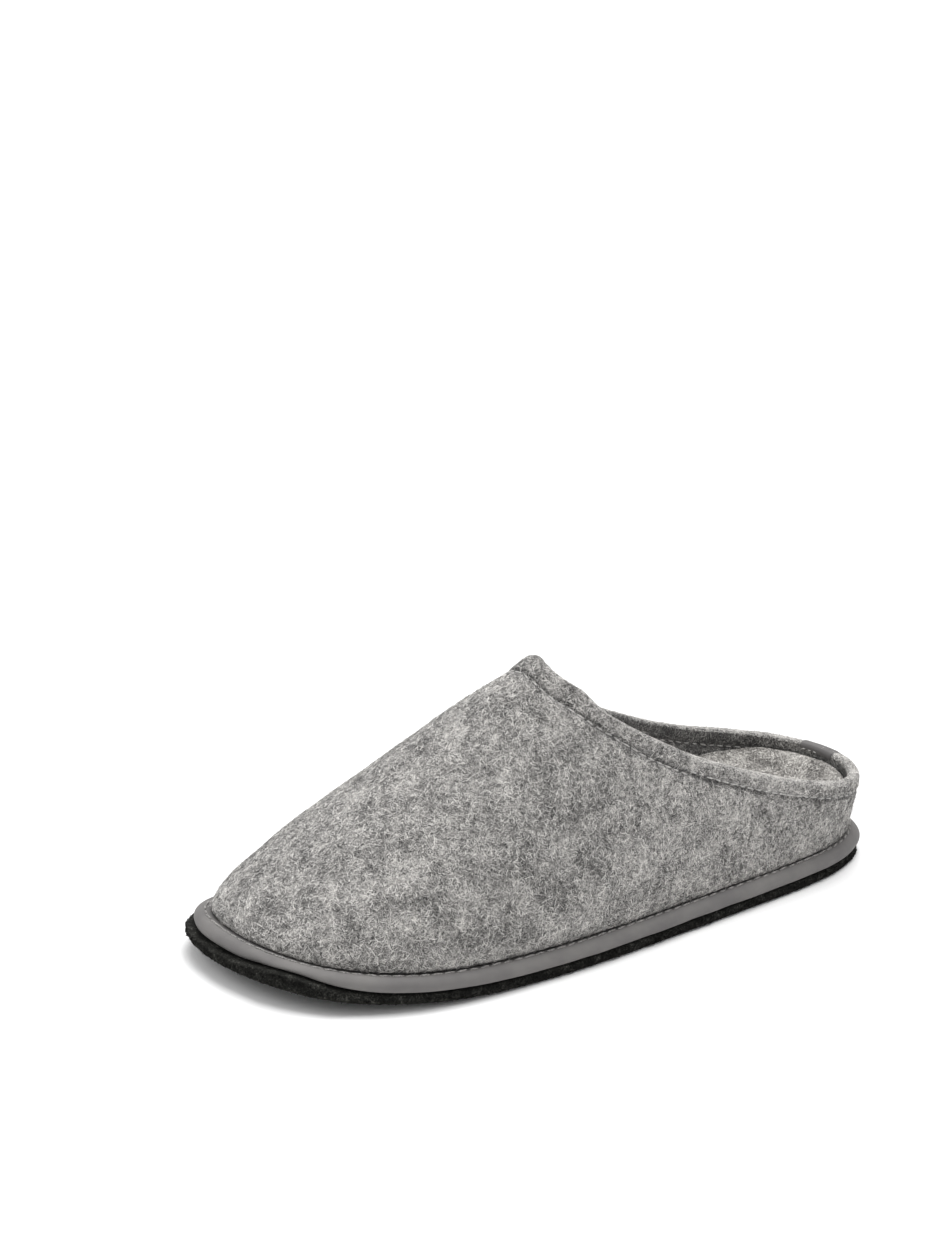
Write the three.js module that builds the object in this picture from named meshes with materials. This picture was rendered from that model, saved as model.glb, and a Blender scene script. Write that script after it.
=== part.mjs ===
// House slipper for the left foot: a closed-toe felt clog with a low back.
// Millimetres, +Z up, toe towards -Y and the outer side of the foot at +X.
// The origin lies on the floor, under the middle of the slipper.

import * as THREE from "three";

// Sole. SPRING_START, LEDGE_START and LEDGE_FULL are shares of the length from the heel.
const LENGTH = 276;
const BALL_WIDTH = 104;
const OUTSOLE_THICKNESS = 4;
const MIDSOLE_THICKNESS = 5.6;
const TOE_SPRING = 7;
const SPRING_START = 0.62;
const SOLE_RECESS = 1.4;
const OUTSOLE_CHAMFER = 0.6;
const TOE_LEDGE = 2.4;
const LEDGE_START = 0.86;
const LEDGE_FULL = 0.97;
const FEATHER_INSET = 5.4;
const SEAM_GROOVE = 0.6;

// Felt upper. HEEL_HEIGHT and INSTEP_HEIGHT are the collar's own, above the top of the sole.
const HEEL_HEIGHT = 25.6;
const INSTEP_HEIGHT = 89;
const FELT = 3;
const HEM_WIDTH = 6.8;
const HEM_PUFF = 0.35;
const HEM_FACING = 0.95;
const HEM_RUN_OUT = 2.5;
const STITCH_GROOVE = 0.45;
const GROOVE_HALF_WIDTH = 0.9;
const EDGE_ROUND = 1.3;
const SHOULDER_DROP = 0.4;
const SHOULDER_SHARE = 0.74;

// Footbed. The heel and ball seats are thicknesses; SEAT_START and SEAT_END are shares of
// the length from the heel, between which one thins to the other.
const HEEL_SEAT = 11;
const BALL_SEAT = 6.5;
const SEAT_START = 0.25;
const SEAT_END = 0.62;
const CUP_POWER = 2.6;
const BED_EDGE_ROUND = 0.6;
const BED_EDGE_RISE = 0.5;
const CUP_LENGTH = 34;
const TOE_BOX = 42;

// Folded strip over the edge of the heel
const STRIP_WIDTH = 18;
const STRIP_SHIFT = -8;
const STRIP_THICKNESS = 0.9;
const STRIP_OUTSIDE = 5.6;
const STRIP_INSIDE = 3;
const STRIP_STATIONS = 9;
const STRIP_SHOULDER = 0.5;

// Clearance between two pieces that touch
const FIT = 0.3;

// Sections drawn round the foot, an even number
const COLUMNS = 88;
const HEM_INNER = -FELT - HEM_FACING;
const HEM_MIDDLE = (HEM_PUFF + HEM_INNER) / 2;
const SOLE_TOP = OUTSOLE_THICKNESS + FIT + MIDSOLE_THICKNESS - SEAM_GROOVE;
const INSIDE_FLOOR = SOLE_TOP + FIT;

// Sections round the foot: from the middle of the heel along the outer side to the toe,
// and back along the inner side. along and topAlong are shares of the length, side and topSide
// of the ball width, for the edge of the sole and for the collar edge. height is the share of the
// way from the height of the heel to that of the instep. lean is the wall's outward lean at the
// sole and slope its fall at the collar, in degrees; rise and reach say how far each one carries.
// bed is the height of the footbed's edge, in shares of the heel's height.
const SECTION_NAMES = [
  "along", "side", "topAlong", "topSide", "height", "lean", "rise", "slope", "reach", "bed",
];
const SECTIONS = [
  [-0.011, 0.0, 0.009, 0.0, 0.0, 9, 0.33, 90, 0.33, 0.82],
  [0.003, 0.17, 0.019, 0.16, 0.0, 10, 0.33, 90, 0.33, 0.82],
  [0.066, 0.313, 0.069, 0.32, 0.015, 10, 0.33, 90, 0.33, 0.82],
  [0.172, 0.38, 0.15, 0.345, 0.08, 11, 0.33, 88, 0.33, 0.8],
  [0.293, 0.42, 0.238, 0.335, 0.205, 12, 0.34, 84, 0.33, 0.7],
  [0.422, 0.467, 0.325, 0.322, 0.355, 16, 0.34, 74, 0.33, 0.55],
  [0.555, 0.514, 0.4, 0.305, 0.505, 16, 0.35, 60, 0.35, 0.42],
  [0.682, 0.528, 0.46, 0.268, 0.67, 13, 0.31, 47, 0.35, 0.34],
  [0.8, 0.525, 0.503, 0.21, 0.81, 9, 0.22, 42, 0.35, 0.3],
  [0.907, 0.432, 0.53, 0.128, 0.905, 5, 0.13, 39, 0.36, 0.28],
  [0.982, 0.18, 0.541, 0.045, 0.975, 2, 0.09, 36, 0.36, 0.28],
  [1.0, -0.15, 0.545, -0.02, 1.0, 1, 0.08, 34, 0.36, 0.28],
  [0.98, -0.385, 0.543, -0.068, 0.97, 1, 0.1, 33, 0.36, 0.28],
  [0.914, -0.485, 0.53, -0.13, 0.905, 3, 0.13, 34, 0.36, 0.28],
  [0.81, -0.485, 0.503, -0.21, 0.815, 6, 0.2, 37, 0.35, 0.3],
  [0.68, -0.455, 0.459, -0.27, 0.695, 9, 0.29, 44, 0.35, 0.36],
  [0.545, -0.36, 0.4, -0.308, 0.515, 14, 0.34, 58, 0.35, 0.5],
  [0.412, -0.315, 0.328, -0.328, 0.35, 14, 0.34, 73, 0.33, 0.7],
  [0.287, -0.33, 0.242, -0.34, 0.204, 10, 0.34, 84, 0.33, 0.84],
  [0.165, -0.365, 0.15, -0.345, 0.085, 8, 0.33, 88, 0.33, 0.85],
  [0.061, -0.342, 0.064, -0.318, 0.015, 8, 0.33, 90, 0.33, 0.82],
  [0.001, -0.19, 0.017, -0.173, 0.0, 9, 0.33, 90, 0.33, 0.82],
];

const clamp = THREE.MathUtils.clamp;
const lerp = THREE.MathUtils.lerp;
const smooth = THREE.MathUtils.smoothstep;
const UP = new THREE.Vector3(0, 0, 1);

// A closed cubic B-spline through the rows gives the section at any turn round the foot.
function sectionAt(turn) {
  const rows = SECTIONS.length;
  const place = (turn - Math.floor(turn)) * rows;
  const row = Math.floor(place);
  const f = place - row;
  const weights = [
    (1 - f) ** 3 / 6,
    (3 * f ** 3 - 6 * f ** 2 + 4) / 6,
    (-3 * f ** 3 + 3 * f ** 2 + 3 * f + 1) / 6,
    f ** 3 / 6,
  ];
  const section = {};
  SECTION_NAMES.forEach((name, column) => {
    section[name] = 0;
    weights.forEach((weight, k) => {
      section[name] += weight * SECTIONS[(row + k - 1 + rows) % rows][column];
    });
  });
  return section;
}

const turns = Array.from({ length: COLUMNS }, (_, i) => i / COLUMNS);
const sections = turns.map(sectionAt);

// The table's own reach, so that the finished outline measures just LENGTH by BALL_WIDTH
// and the collar runs from HEEL_HEIGHT to INSTEP_HEIGHT.
function reachOf(name) {
  const values = sections.map((section) => section[name]);
  return { low: Math.min(...values), high: Math.max(...values) };
}
const alongReach = reachOf("along");
const sideReach = reachOf("side");
const heightReach = reachOf("height");

function shareOf(value, reach) {
  return (value - reach.low) / (reach.high - reach.low);
}

function acrossAt(side) {
  return BALL_WIDTH * (shareOf(side, sideReach) - 0.5);
}

function lengthwiseAt(along) {
  return LENGTH * (0.5 - shareOf(along, alongReach));
}

// Height that the toe spring lifts the sole at y.
function springAt(y) {
  const share = clamp((0.5 - y / LENGTH - SPRING_START) / (1 - SPRING_START), 0, 1);
  return TOE_SPRING * share ** 2;
}

// The widest line of the sole, its wrapped edge, seen from above.
const edge = sections.map((section) => {
  return new THREE.Vector2(acrossAt(section.side), lengthwiseAt(section.along));
});

const edgeNormals = edge.map((_, i) => {
  const before = edge[(i + COLUMNS - 1) % COLUMNS];
  const after = edge[(i + 1) % COLUMNS];
  return new THREE.Vector2(before.y - after.y, after.x - before.x).normalize();
});

// A point beside the sole's edge: out from it in plan, and up from the ground under the spring.
function besideEdge(i, out, height) {
  const x = edge[i].x + edgeNormals[i].x * out;
  const y = edge[i].y + edgeNormals[i].y * out;
  return new THREE.Vector3(x, y, springAt(y) + height);
}

function ringBeside(outAt, height) {
  return edge.map((_, i) => besideEdge(i, outAt(i), height));
}

// A solid from rings of points, each ring as long as the last. The ends are closed
// straight across, from the outer side to the inner side of the foot.
function solidFromRings(rings) {
  const count = rings[0].length;
  const positions = rings.flat().flatMap((point) => point.toArray());
  const faces = [];
  for (let ring = 0; ring + 1 < rings.length; ring += 1) {
    for (let i = 0; i < count; i += 1) {
      addQuad(faces, ring * count + i, ring * count + (i + 1) % count,
        (ring + 1) * count + (i + 1) % count, (ring + 1) * count + i);
    }
  }
  addCap(faces, 0, count, true);
  addCap(faces, (rings.length - 1) * count, count, false);
  return geometryFrom(positions, faces);
}

// A ring-shaped solid: the last ring joins the first.
function hollowFromRings(rings) {
  const count = rings[0].length;
  const positions = rings.flat().flatMap((point) => point.toArray());
  const faces = [];
  rings.forEach((_, ring) => {
    const next = (ring + 1) % rings.length;
    for (let i = 0; i < count; i += 1) {
      addQuad(faces, ring * count + i, ring * count + (i + 1) % count,
        next * count + (i + 1) % count, next * count + i);
    }
  });
  return geometryFrom(positions, faces);
}

function addQuad(faces, a, b, c, d) {
  faces.push(a, c, b, a, d, c);
}

function addCap(faces, first, count, facesDown) {
  for (let i = 0; i < count / 2; i += 1) {
    const corners = [i, i + 1, count - i - 1, (count - i) % count].map((k) => first + k);
    const [a, b, c, d] = facesDown ? corners : [corners[3], corners[2], corners[1], corners[0]];
    if (a !== d) {
      faces.push(a, b, d);
    }
    if (b !== c) {
      faces.push(b, c, d);
    }
  }
}

function geometryFrom(positions, faces) {
  const geometry = new THREE.BufferGeometry();
  geometry.setAttribute("position", new THREE.Float32BufferAttribute(positions, 3));
  geometry.setIndex(faces);
  geometry.computeVertexNormals();
  return geometry;
}

// Outsole: a flat rubber sheet under the wrapped edge, a little longer than it at the toe.
function outsole() {
  const outAt = (i) => {
    const share = 0.5 - edge[i].y / LENGTH;
    return lerp(-SOLE_RECESS, TOE_LEDGE, smooth(share, LEDGE_START, LEDGE_FULL));
  };
  const inner = (i) => outAt(i) - FEATHER_INSET * 2;
  const chamfered = (i) => outAt(i) - OUTSOLE_CHAMFER;
  return solidFromRings([
    ringBeside(inner, 0),
    ringBeside(chamfered, 0),
    ringBeside(outAt, OUTSOLE_CHAMFER),
    ringBeside(outAt, OUTSOLE_THICKNESS - OUTSOLE_CHAMFER),
    ringBeside(chamfered, OUTSOLE_THICKNESS),
    ringBeside(inner, OUTSOLE_THICKNESS),
  ]);
}

// Wrapped midsole: the platform under the foot, with its edge rounded by the cover
// that is sewn to the felt and pulled round underneath. Each row is a ring of the edge:
// inset in shares of the way in to the felt, height in shares of the midsole's thickness.
const WRAP_EDGE = [
  { inset: 2, height: 0 },
  { inset: 0.3, height: 0 },
  { inset: 0.08, height: 0.16 },
  { inset: 0, height: 0.42 },
  { inset: 0.1, height: 0.68 },
  { inset: 0.36, height: 0.92 },
  { inset: 0.7, height: 1 },
];

function wrappedMidsole() {
  const base = OUTSOLE_THICKNESS + FIT;
  const rings = WRAP_EDGE.map((row) => {
    return ringBeside(() => -row.inset * FEATHER_INSET, base + row.height * MIDSOLE_THICKNESS);
  });
  [0, FELT, FEATHER_INSET].forEach((inward) => {
    rings.push(ringBeside(() => -FEATHER_INSET - inward, SOLE_TOP));
  });
  return solidFromRings(rings);
}

// The felt's outer face: one curve for each column, up from the sole's seam to the collar edge.
const feltCurves = sections.map((section, i) => {
  const foot = besideEdge(i, -FEATHER_INSET, INSIDE_FLOOR);
  const collar = new THREE.Vector3(
    acrossAt(section.topSide),
    lengthwiseAt(section.topAlong),
    SOLE_TOP + lerp(HEEL_HEIGHT, INSTEP_HEIGHT, shareOf(section.height, heightReach)),
  );
  const lean = THREE.MathUtils.degToRad(section.lean);
  const slope = THREE.MathUtils.degToRad(section.slope);
  const outward = new THREE.Vector3(edgeNormals[i].x, edgeNormals[i].y, 0);
  const forward = foot.clone().sub(collar).setZ(0).normalize();
  const span = foot.distanceTo(collar);
  const fromFoot = foot.clone()
    .addScaledVector(outward, Math.sin(lean) * section.rise * span)
    .addScaledVector(UP, Math.cos(lean) * section.rise * span);
  const fromCollar = collar.clone()
    .addScaledVector(forward, Math.cos(slope) * section.reach * span)
    .addScaledVector(UP, -Math.sin(slope) * section.reach * span);
  return new THREE.CubicBezierCurve3(foot, fromFoot, fromCollar, collar);
});

// Rings of the felt wall. Above the hem line a ring is so far down from the collar edge,
// below it a ring is at a share of what is left.
const BODY_SHARES = [0, 0.05, 0.12, 0.21, 0.32, 0.44, 0.56, 0.68, 0.8, 0.91, 1];
const INSIDE_SHARES = [1, 0.86, 0.7, 0.52, 0.34, 0.18, 0.07, 0];
const HEM_DROPS = [
  HEM_WIDTH + GROOVE_HALF_WIDTH,
  HEM_WIDTH,
  HEM_WIDTH - GROOVE_HALF_WIDTH,
  HEM_WIDTH * 0.7,
  HEM_WIDTH * 0.35,
];
const hemEnd = HEM_WIDTH + HEM_RUN_OUT;

function faceRing(dropAt) {
  return feltCurves.map((curve) => {
    const span = curve.getLength();
    return curve.getPointAt(clamp(1 - dropAt(span) / span, 0, 1));
  });
}

// The drop from the collar edge at a share of the body, which ends where the hem begins.
function bodyDrop(share) {
  return (span) => hemEnd + (1 - share) * (span - hemEnd);
}

// How far a ring at this drop stands off the felt's outer face, outside and inside.
function outsideRelief(drop) {
  const puff = HEM_PUFF * (1 - smooth(drop, HEM_WIDTH - GROOVE_HALF_WIDTH, HEM_WIDTH));
  const beside = Math.abs(drop - HEM_WIDTH) / GROOVE_HALF_WIDTH;
  const groove = STITCH_GROOVE * clamp(1 - beside, 0, 1);
  return puff - groove;
}

function insideRelief(drop) {
  const low = HEM_WIDTH - GROOVE_HALF_WIDTH;
  return -FELT - HEM_FACING * (1 - smooth(drop, low, HEM_WIDTH + GROOVE_HALF_WIDTH));
}

// Outward normals of the felt's face at a ring, from its neighbours round the foot
// and from the curves that pass through it.
function normalsOf(ring, lower, upper) {
  return ring.map((_, i) => {
    const round = ring[(i + 1) % COLUMNS].clone().sub(ring[(i + COLUMNS - 1) % COLUMNS]);
    const climb = upper[i].clone().sub(lower[i]);
    return climb.cross(round).normalize();
  });
}

// The felt wall as faces: each keeps its ring, its normals and its drop from the collar.
function wallFaces() {
  const faces = [];
  BODY_SHARES.forEach((share) => {
    faces.push({ ring: faceRing(bodyDrop(share)), share });
  });
  HEM_DROPS.concat([EDGE_ROUND, SHOULDER_DROP, 0]).forEach((drop) => {
    faces.push({ ring: faceRing(() => drop), drop });
  });
  faces.forEach((face, k) => {
    const lower = faces[Math.max(k - 1, 0)].ring;
    const upper = faces[Math.min(k + 1, faces.length - 1)].ring;
    face.normals = normalsOf(face.ring, lower, upper);
  });
  return faces;
}

function offsetRing(ring, normals, out) {
  return ring.map((point, i) => point.clone().addScaledVector(normals[i], out));
}

// A ring of the wall, standing off the felt's outer face. dropAt takes the curve's length.
function feltRing(dropAt, out) {
  const step = 0.5;
  const at = (shift) => faceRing((span) => dropAt(span) + shift);
  const ring = at(0);
  return offsetRing(ring, normalsOf(ring, at(step), at(-step)), out);
}

// The inside of the wall, from the collar edge down to the floor of the slipper.
function insideRings() {
  const rings = [EDGE_ROUND, HEM_WIDTH * 0.5, HEM_WIDTH, hemEnd].map((drop) => {
    return feltRing(() => drop, insideRelief(drop));
  });
  INSIDE_SHARES.slice(1).forEach((share) => {
    rings.push(feltRing(bodyDrop(share), -FELT));
  });
  rings[rings.length - 1].forEach((point) => {
    point.z = springAt(point.y) + INSIDE_FLOOR;
  });
  return rings;
}

function upper() {
  const faces = wallFaces();
  const rings = [];
  faces.filter((face) => face.share !== undefined).forEach((face) => {
    rings.push(face.ring);
  });
  faces.filter((face) => face.drop >= EDGE_ROUND).forEach((face) => {
    rings.push(offsetRing(face.ring, face.normals, outsideRelief(face.drop)));
  });
  const shoulder = faces[faces.length - 2];
  const crest = faces[faces.length - 1];
  const aside = SHOULDER_SHARE * (HEM_PUFF - HEM_INNER) / 2;
  rings.push(offsetRing(shoulder.ring, shoulder.normals, HEM_MIDDLE + aside));
  rings.push(offsetRing(crest.ring, crest.normals, HEM_MIDDLE));
  rings.push(offsetRing(shoulder.ring, shoulder.normals, HEM_MIDDLE - aside));
  return hollowFromRings(rings.concat(insideRings()));
}

// Footbed: a thick cushion that fills the slipper up to a cupped edge along the felt.
function footbed() {
  const inside = insideRings().reverse();
  const besideFelt = (share, clearance) => sections.map((section, i) => {
    const height = share * section.bed * HEEL_HEIGHT;
    const wall = inside.map((ring) => ring[i]);
    const inward = new THREE.Vector3(-edgeNormals[i].x, -edgeNormals[i].y, 0);
    return pointAtHeight(wall, height).addScaledVector(inward, clearance);
  });
  const bottom = besideFelt(0, FIT);
  const walls = [0.3, 0.65, 0.93].map((share) => besideFelt(share, FIT));
  const crest = besideFelt(1, FIT + BED_EDGE_ROUND);
  const spine = spineOf(bottom);
  const towardsSpine = (ring, share) => {
    return ring.map((point, i) => point.clone().lerp(spine[i], share));
  };
  const seatAt = (y) => {
    const share = 0.5 - y / LENGTH;
    const seat = lerp(HEEL_SEAT, BALL_SEAT, smooth(share, SEAT_START, SEAT_END));
    return INSIDE_FLOOR + springAt(y) + seat;
  };
  const top = [0.04, 0.12, 0.24, 0.42, 0.66, 0.9].map((share) => {
    const ring = towardsSpine(crest, share);
    ring.forEach((point, i) => {
      const left = (1 - share) ** CUP_POWER;
      point.z = lerp(seatAt(point.y), crest[i].z + BED_EDGE_RISE, left);
    });
    return ring;
  });
  const under = towardsSpine(bottom, 0.9);
  under.concat(bottom).forEach((point) => {
    point.z = springAt(point.y) + INSIDE_FLOOR;
  });
  return solidFromRings([under, bottom, ...walls, crest, ...top]);
}

// The point of a wall, given from its foot up, that stands so high above the inside floor.
function pointAtHeight(wall, height) {
  const heights = wall.map((point) => point.z - springAt(point.y) - INSIDE_FLOOR);
  const above = Math.max(heights.findIndex((value) => value >= height), 1);
  const share = (height - heights[above - 1]) / (heights[above] - heights[above - 1]);
  return wall[above - 1].clone().lerp(wall[above], share);
}

// The line down the middle of a ring, held back from the heel and the toe
// so that the rings between keep their round ends.
function spineOf(ring) {
  const heel = ring[0].y - CUP_LENGTH;
  const toe = ring[COLUMNS / 2].y + TOE_BOX;
  const middles = ring.map((point, i) => {
    return point.clone().add(ring[(COLUMNS - i) % COLUMNS]).multiplyScalar(0.5);
  });
  const half = middles.slice(0, COLUMNS / 2 + 1);
  const heelMiddle = half.find((point) => point.y <= heel);
  const toeMiddle = [...half].reverse().find((point) => point.y >= toe);
  return middles.map((point) => {
    if (point.y > heel) {
      return heelMiddle.clone();
    }
    return point.y < toe ? toeMiddle.clone() : point;
  });
}

// Heel strip: thin smooth cover folded over the collar edge at the back of the heel.
function heelStrip() {
  const loops = [];
  for (let station = 0; station < STRIP_STATIONS; station += 1) {
    const x = STRIP_SHIFT + STRIP_WIDTH * (0.5 - station / (STRIP_STATIONS - 1));
    loops.push(stripLoop(turnAtHeel(x)));
  }
  const count = loops[0].length;
  const positions = loops.flat().flatMap((point) => point.toArray());
  const faces = [];
  for (let station = 0; station + 1 < STRIP_STATIONS; station += 1) {
    for (let k = 0; k < count; k += 1) {
      addQuad(faces, station * count + k, station * count + (k + 1) % count,
        (station + 1) * count + (k + 1) % count, (station + 1) * count + k);
    }
  }
  const last = (STRIP_STATIONS - 1) * count;
  for (let k = 0; k + 1 < count / 2; k += 1) {
    addQuad(faces, k + 1, k, count - 1 - k, count - 2 - k);
    addQuad(faces, last + k, last + k + 1, last + count - 2 - k, last + count - 1 - k);
  }
  return geometryFrom(positions, faces);
}

// The turn round the foot, near the heel, where the collar edge passes x.
function turnAtHeel(x) {
  let low = -0.2;
  let high = 0.2;
  for (let step = 0; step < 30; step += 1) {
    const middle = (low + high) / 2;
    if (acrossAt(sectionAt(middle).topSide) < x) {
      low = middle;
    } else {
      high = middle;
    }
  }
  return low;
}

// The point of a ring at any turn round the foot.
function betweenColumns(ring, turn) {
  const place = (turn - Math.floor(turn)) * COLUMNS;
  const i = Math.floor(place);
  return ring[i % COLUMNS].clone().lerp(ring[(i + 1) % COLUMNS], place - i);
}

// One loop of the strip: the skin that lies on the felt, and the skin outside it.
// away is the gap's share off the felt's face, outside or inside, and lift its share upwards.
function stripLoop(turn) {
  const shoulderOut = HEM_PUFF - STRIP_SHOULDER;
  const shoulderIn = HEM_INNER + STRIP_SHOULDER;
  const path = [
    { drop: STRIP_OUTSIDE, out: HEM_PUFF, away: 1, lift: 0 },
    { drop: STRIP_OUTSIDE * 0.5, out: HEM_PUFF, away: 1, lift: 0 },
    { drop: STRIP_OUTSIDE * 0.18, out: HEM_PUFF, away: 1, lift: 0.8 },
    { drop: SHOULDER_DROP, out: shoulderOut, away: 1, lift: 0.8 },
    { drop: 0, out: HEM_MIDDLE, away: 0, lift: 1 },
    { drop: SHOULDER_DROP, out: shoulderIn, away: -1, lift: 0.8 },
    { drop: STRIP_INSIDE * 0.5, out: HEM_INNER, away: -1, lift: 0 },
    { drop: STRIP_INSIDE, out: HEM_INNER, away: -1, lift: 0 },
  ];
  const skin = (gap) => path.map((row) => {
    const ring = feltRing(() => row.drop, row.out + row.away * gap);
    return betweenColumns(ring, turn).addScaledVector(UP, row.lift * gap);
  });
  const inner = skin(FIT);
  const outer = skin(FIT + STRIP_THICKNESS);
  return [...outer, ...inner.reverse()];
}

function material(color, roughness) {
  return new THREE.MeshStandardMaterial({ color, roughness, metalness: 0, flatShading: true });
}

const greyFelt = material(0x8d8b88, 0.95);
const warmFelt = material(0xa19c96, 0.95);
const wrapCover = material(0x82807e, 0.6);
const blackRubber = material(0x1c1c1c, 0.9);

const slipper = new THREE.Group();
slipper.name = "house_slipper";

function addPiece(name, geometry, finish) {
  const mesh = new THREE.Mesh(geometry, finish);
  mesh.name = name;
  slipper.add(mesh);
}

addPiece("outsole", outsole(), blackRubber);
addPiece("wrapped_midsole", wrappedMidsole(), wrapCover);
addPiece("upper", upper(), greyFelt);
addPiece("footbed", footbed(), warmFelt);
addPiece("heel_strip", heelStrip(), wrapCover);

// The toe of the outsole reaches past the wrapped edge, so the whole is centred at the end.
const box = new THREE.Box3().setFromObject(slipper);
const centre = box.getCenter(new THREE.Vector3());
slipper.position.set(-centre.x, -centre.y, -box.min.z);

export default slipper;
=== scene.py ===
# %% [markdown]
# # A felt house slipper
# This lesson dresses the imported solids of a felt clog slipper: a left shoe with a closed toe,
# a low back, a thick footbed and a thin flat sole. The solids already have the right form and
# size, so each piece starts as a copy of one and gets what a solid leaves out: soft felt that
# puffs and dents, hairs, stitches, a hand-pulled cover and a roughly cut rubber sheet.

import math
from collections import namedtuple

import bmesh
import bpy
import numpy as np
from mathutils import Matrix, Vector
from mathutils.bvhtree import BVHTree
from mathutils.kdtree import KDTree


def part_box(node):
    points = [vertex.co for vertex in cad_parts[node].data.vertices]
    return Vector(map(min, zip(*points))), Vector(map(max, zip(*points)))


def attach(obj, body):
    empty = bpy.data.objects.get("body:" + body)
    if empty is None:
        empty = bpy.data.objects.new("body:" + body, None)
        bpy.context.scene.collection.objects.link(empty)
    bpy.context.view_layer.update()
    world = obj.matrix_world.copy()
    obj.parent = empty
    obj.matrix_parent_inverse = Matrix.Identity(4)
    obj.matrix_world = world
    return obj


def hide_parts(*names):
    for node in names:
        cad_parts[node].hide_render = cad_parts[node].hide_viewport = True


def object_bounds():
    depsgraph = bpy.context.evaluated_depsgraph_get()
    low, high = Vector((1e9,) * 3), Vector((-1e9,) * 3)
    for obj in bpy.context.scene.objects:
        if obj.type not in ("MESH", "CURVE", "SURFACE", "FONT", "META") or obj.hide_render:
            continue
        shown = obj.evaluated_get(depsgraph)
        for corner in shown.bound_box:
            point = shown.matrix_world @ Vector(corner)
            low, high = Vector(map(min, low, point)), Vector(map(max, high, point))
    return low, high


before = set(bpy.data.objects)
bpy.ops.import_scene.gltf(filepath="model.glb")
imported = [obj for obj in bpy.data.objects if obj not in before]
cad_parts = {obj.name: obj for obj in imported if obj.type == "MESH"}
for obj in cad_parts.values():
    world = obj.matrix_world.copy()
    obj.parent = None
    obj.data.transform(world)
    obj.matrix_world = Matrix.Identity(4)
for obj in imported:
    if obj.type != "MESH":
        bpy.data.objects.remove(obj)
cad_low, cad_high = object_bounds()
MM = 0.001
print("CAD box", [round(v / MM, 1) for v in cad_high - cad_low], "mm")

# %% [markdown]
# # The camera
# A small object in a product photograph is taken with a long lens from a good metre away. The
# camera's place, turn and focal length were found by fitting the solids' own outlines to the
# photograph's. An orbit gives the place, and two small angles say how far the camera looks
# past the point that it circles. A roll keeps the shoe's tilt in the picture.

# %% Camera
PHOTO_HEIGHT = 1234
SENSOR = 36
ORBIT = {"azimuth": 53.03, "elevation": 22.028, "distance": 1200 * MM, "height": 35 * MM}
AIM = {"azimuth": 1.672, "elevation": -3.476, "roll": 1.459}
FOCAL_PIXELS = 3283.8


def direction(azimuth, elevation):
    """From the object towards a camera at these angles, in degrees."""
    a = math.radians(azimuth)
    e = math.radians(elevation)
    return Vector((math.sin(a) * math.cos(e), -math.cos(a) * math.cos(e), math.sin(e)))


camera_data = bpy.data.cameras.new("camera")
camera = bpy.data.objects.new("camera", camera_data)
bpy.context.scene.collection.objects.link(camera)
bpy.context.scene.camera = camera

place = direction(ORBIT["azimuth"], ORBIT["elevation"]) * ORBIT["distance"]
back = direction(ORBIT["azimuth"] + AIM["azimuth"], ORBIT["elevation"] + AIM["elevation"])
level = Vector((0, 0, 1)).cross(back).normalized()
upright = back.cross(level)
roll = math.radians(AIM["roll"])
right = level * math.cos(roll) + upright * math.sin(roll)
above = upright * math.cos(roll) - level * math.sin(roll)
turn = Matrix((right, above, back)).transposed()
camera.matrix_world = Matrix.LocRotScale(place + Vector((0, 0, ORBIT["height"])), turn, None)

camera_data.sensor_width = SENSOR
camera_data.lens = FOCAL_PIXELS * SENSOR / PHOTO_HEIGHT
camera_data.clip_end = 50
print("lens", round(camera_data.lens, 1), "mm")

# %% [markdown]
# # Nodes and colours
# Every finish below is a small node tree. One helper adds a node, sets it and links it, so a
# tree reads as a list of steps. Colours are picked as sRGB hex values, as on a screen, and one
# function turns them into the linear values that light works with.

# %% Helpers for finishes
def linear(hex_colour):
    """An sRGB hex colour as a linear RGBA tuple."""
    channels = [int(hex_colour[i:i + 2], 16) / 255 for i in (1, 3, 5)]
    values = [c / 12.92 if c <= 0.04045 else ((c + 0.055) / 1.055) ** 2.4 for c in channels]
    return (*values, 1.0)


def add_node(tree, kind, settings=None, sockets=None, links=None):
    """Adds a node, sets its properties and sockets, and links outputs to its sockets."""
    node = tree.nodes.new(kind)
    for name, value in (settings or {}).items():
        setattr(node, name, value)
    for name, value in (sockets or {}).items():
        node.inputs[name].default_value = value
    for name, output in (links or {}).items():
        tree.links.new(output, node.inputs[name])
    return node


def new_material(name):
    """An empty material: its node tree and its output node."""
    material = bpy.data.materials.new(name)
    material.use_nodes = True
    tree = material.node_tree
    tree.nodes.clear()
    return material, tree, tree.nodes.new("ShaderNodeOutputMaterial")


def set_ramp(node, stops):
    """Sets a colour ramp's stops from pairs of place and hex colour."""
    elements = node.color_ramp.elements
    while len(elements) < len(stops):
        elements.new(0.5)
    for element, (position, colour) in zip(elements, stops):
        element.position = position
        element.color = linear(colour)


def per_mm(size):
    """The scale of a noise whose features are this many millimetres wide."""
    return 1 / (size * MM)


# %% [markdown]
# # Felt
# Wool felt is a mat of crimped fibres, boiled and rubbed until they lock. This one is a blend
# of dark and near-white wool, so from near it is light hairs over dark gaps, and from afar it is
# mottled in soft patches of 3 to 20 mm. The ground of the mat is drawn here: a fine noise is
# read at a place that a coarser noise has pulled about, which draws it out into swirling
# strands. The patches come from an attribute, because the loose hairs that are added later must
# have the same light and dark places as the ground below them.

# %% Felt finish
WOOL_IOR = 1.55


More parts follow.
